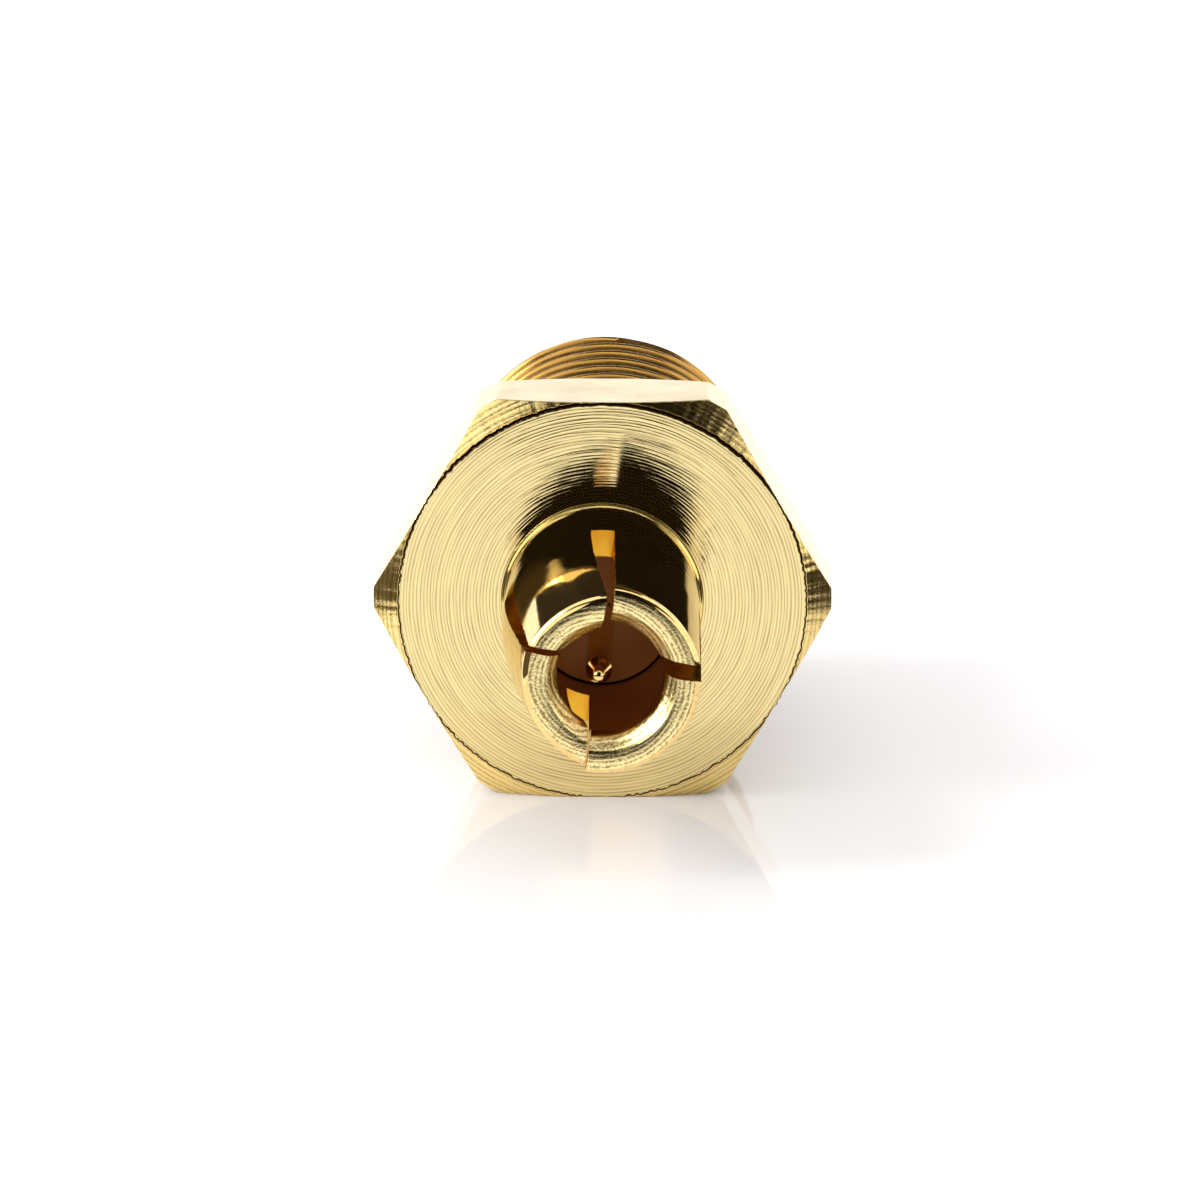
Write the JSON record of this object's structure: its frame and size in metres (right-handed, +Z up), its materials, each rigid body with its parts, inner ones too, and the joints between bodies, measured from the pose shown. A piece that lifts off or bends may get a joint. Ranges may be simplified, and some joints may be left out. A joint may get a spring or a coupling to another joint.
{
  "type": "coaxial adapter",
  "caption": "Straight coaxial adapter joining a push-on plug with a slotted spring sleeve to a threaded screw-on jack, with a thin hexagonal flange between them.",
  "frame": {"origin": "centre of the adapter's bounding box at its underside: on the lower flat of the hexagonal flange's plane, straight below the axis, half way along the length", "axes": "+Y along the axis, from the plug's mouth to the jack's mouth; +Z up, square to the flange's upper and lower flats; +X towards a corner of the flange"},
  "size_m": [0.009, 0.0158, 0.008],
  "materials": {
    "turned_gold": "gold plate over turned brass, fine tool marks",
    "polished_gold": "gold plate over polished spring bronze",
    "contact_gold": "gold plate over spring bronze",
    "bead_white": "waxy white fluoropolymer"
  },
  "bodies": {
    "adapter": {"adapter_body": "turned_gold", "plug_sleeve": "polished_gold", "plug_bead": "bead_white", "jack_bead": "bead_white", "centre_pin": "contact_gold", "socket_contact": "contact_gold"},
    "finger_1": {"spring_finger_1": "polished_gold"},
    "finger_2": {"spring_finger_2": "polished_gold"},
    "finger_3": {"spring_finger_3": "polished_gold"},
    "finger_4": {"spring_finger_4": "polished_gold"}
  },
  "joints": [
    {"name": "finger_1_flex", "type": "hinge", "parent": "adapter", "child": "finger_1", "pos_m": [0.00114, -0.00411, 0.00521], "axis": [-0.729, 0, 0.6845], "range_deg": [0, 2.5], "stiffness_Nm_per_rad": 0.3},
    {"name": "finger_2_flex", "type": "hinge", "parent": "adapter", "child": "finger_2", "pos_m": [-0.00092, -0.00411, 0.00538], "axis": [-0.832, 0, -0.5548], "range_deg": [0, 2.5], "stiffness_Nm_per_rad": 0.3},
    {"name": "finger_3_flex", "type": "hinge", "parent": "adapter", "child": "finger_3", "pos_m": [-0.00149, -0.00411, 0.00326], "axis": [0.4446, 0, -0.8957], "range_deg": [0, 2.5], "stiffness_Nm_per_rad": 0.3},
    {"name": "finger_4_flex", "type": "hinge", "parent": "adapter", "child": "finger_4", "pos_m": [0.00105, -0.00411, 0.00271], "axis": [0.7749, 0, 0.632], "range_deg": [0, 2.5], "stiffness_Nm_per_rad": 0.3}
  ]
}
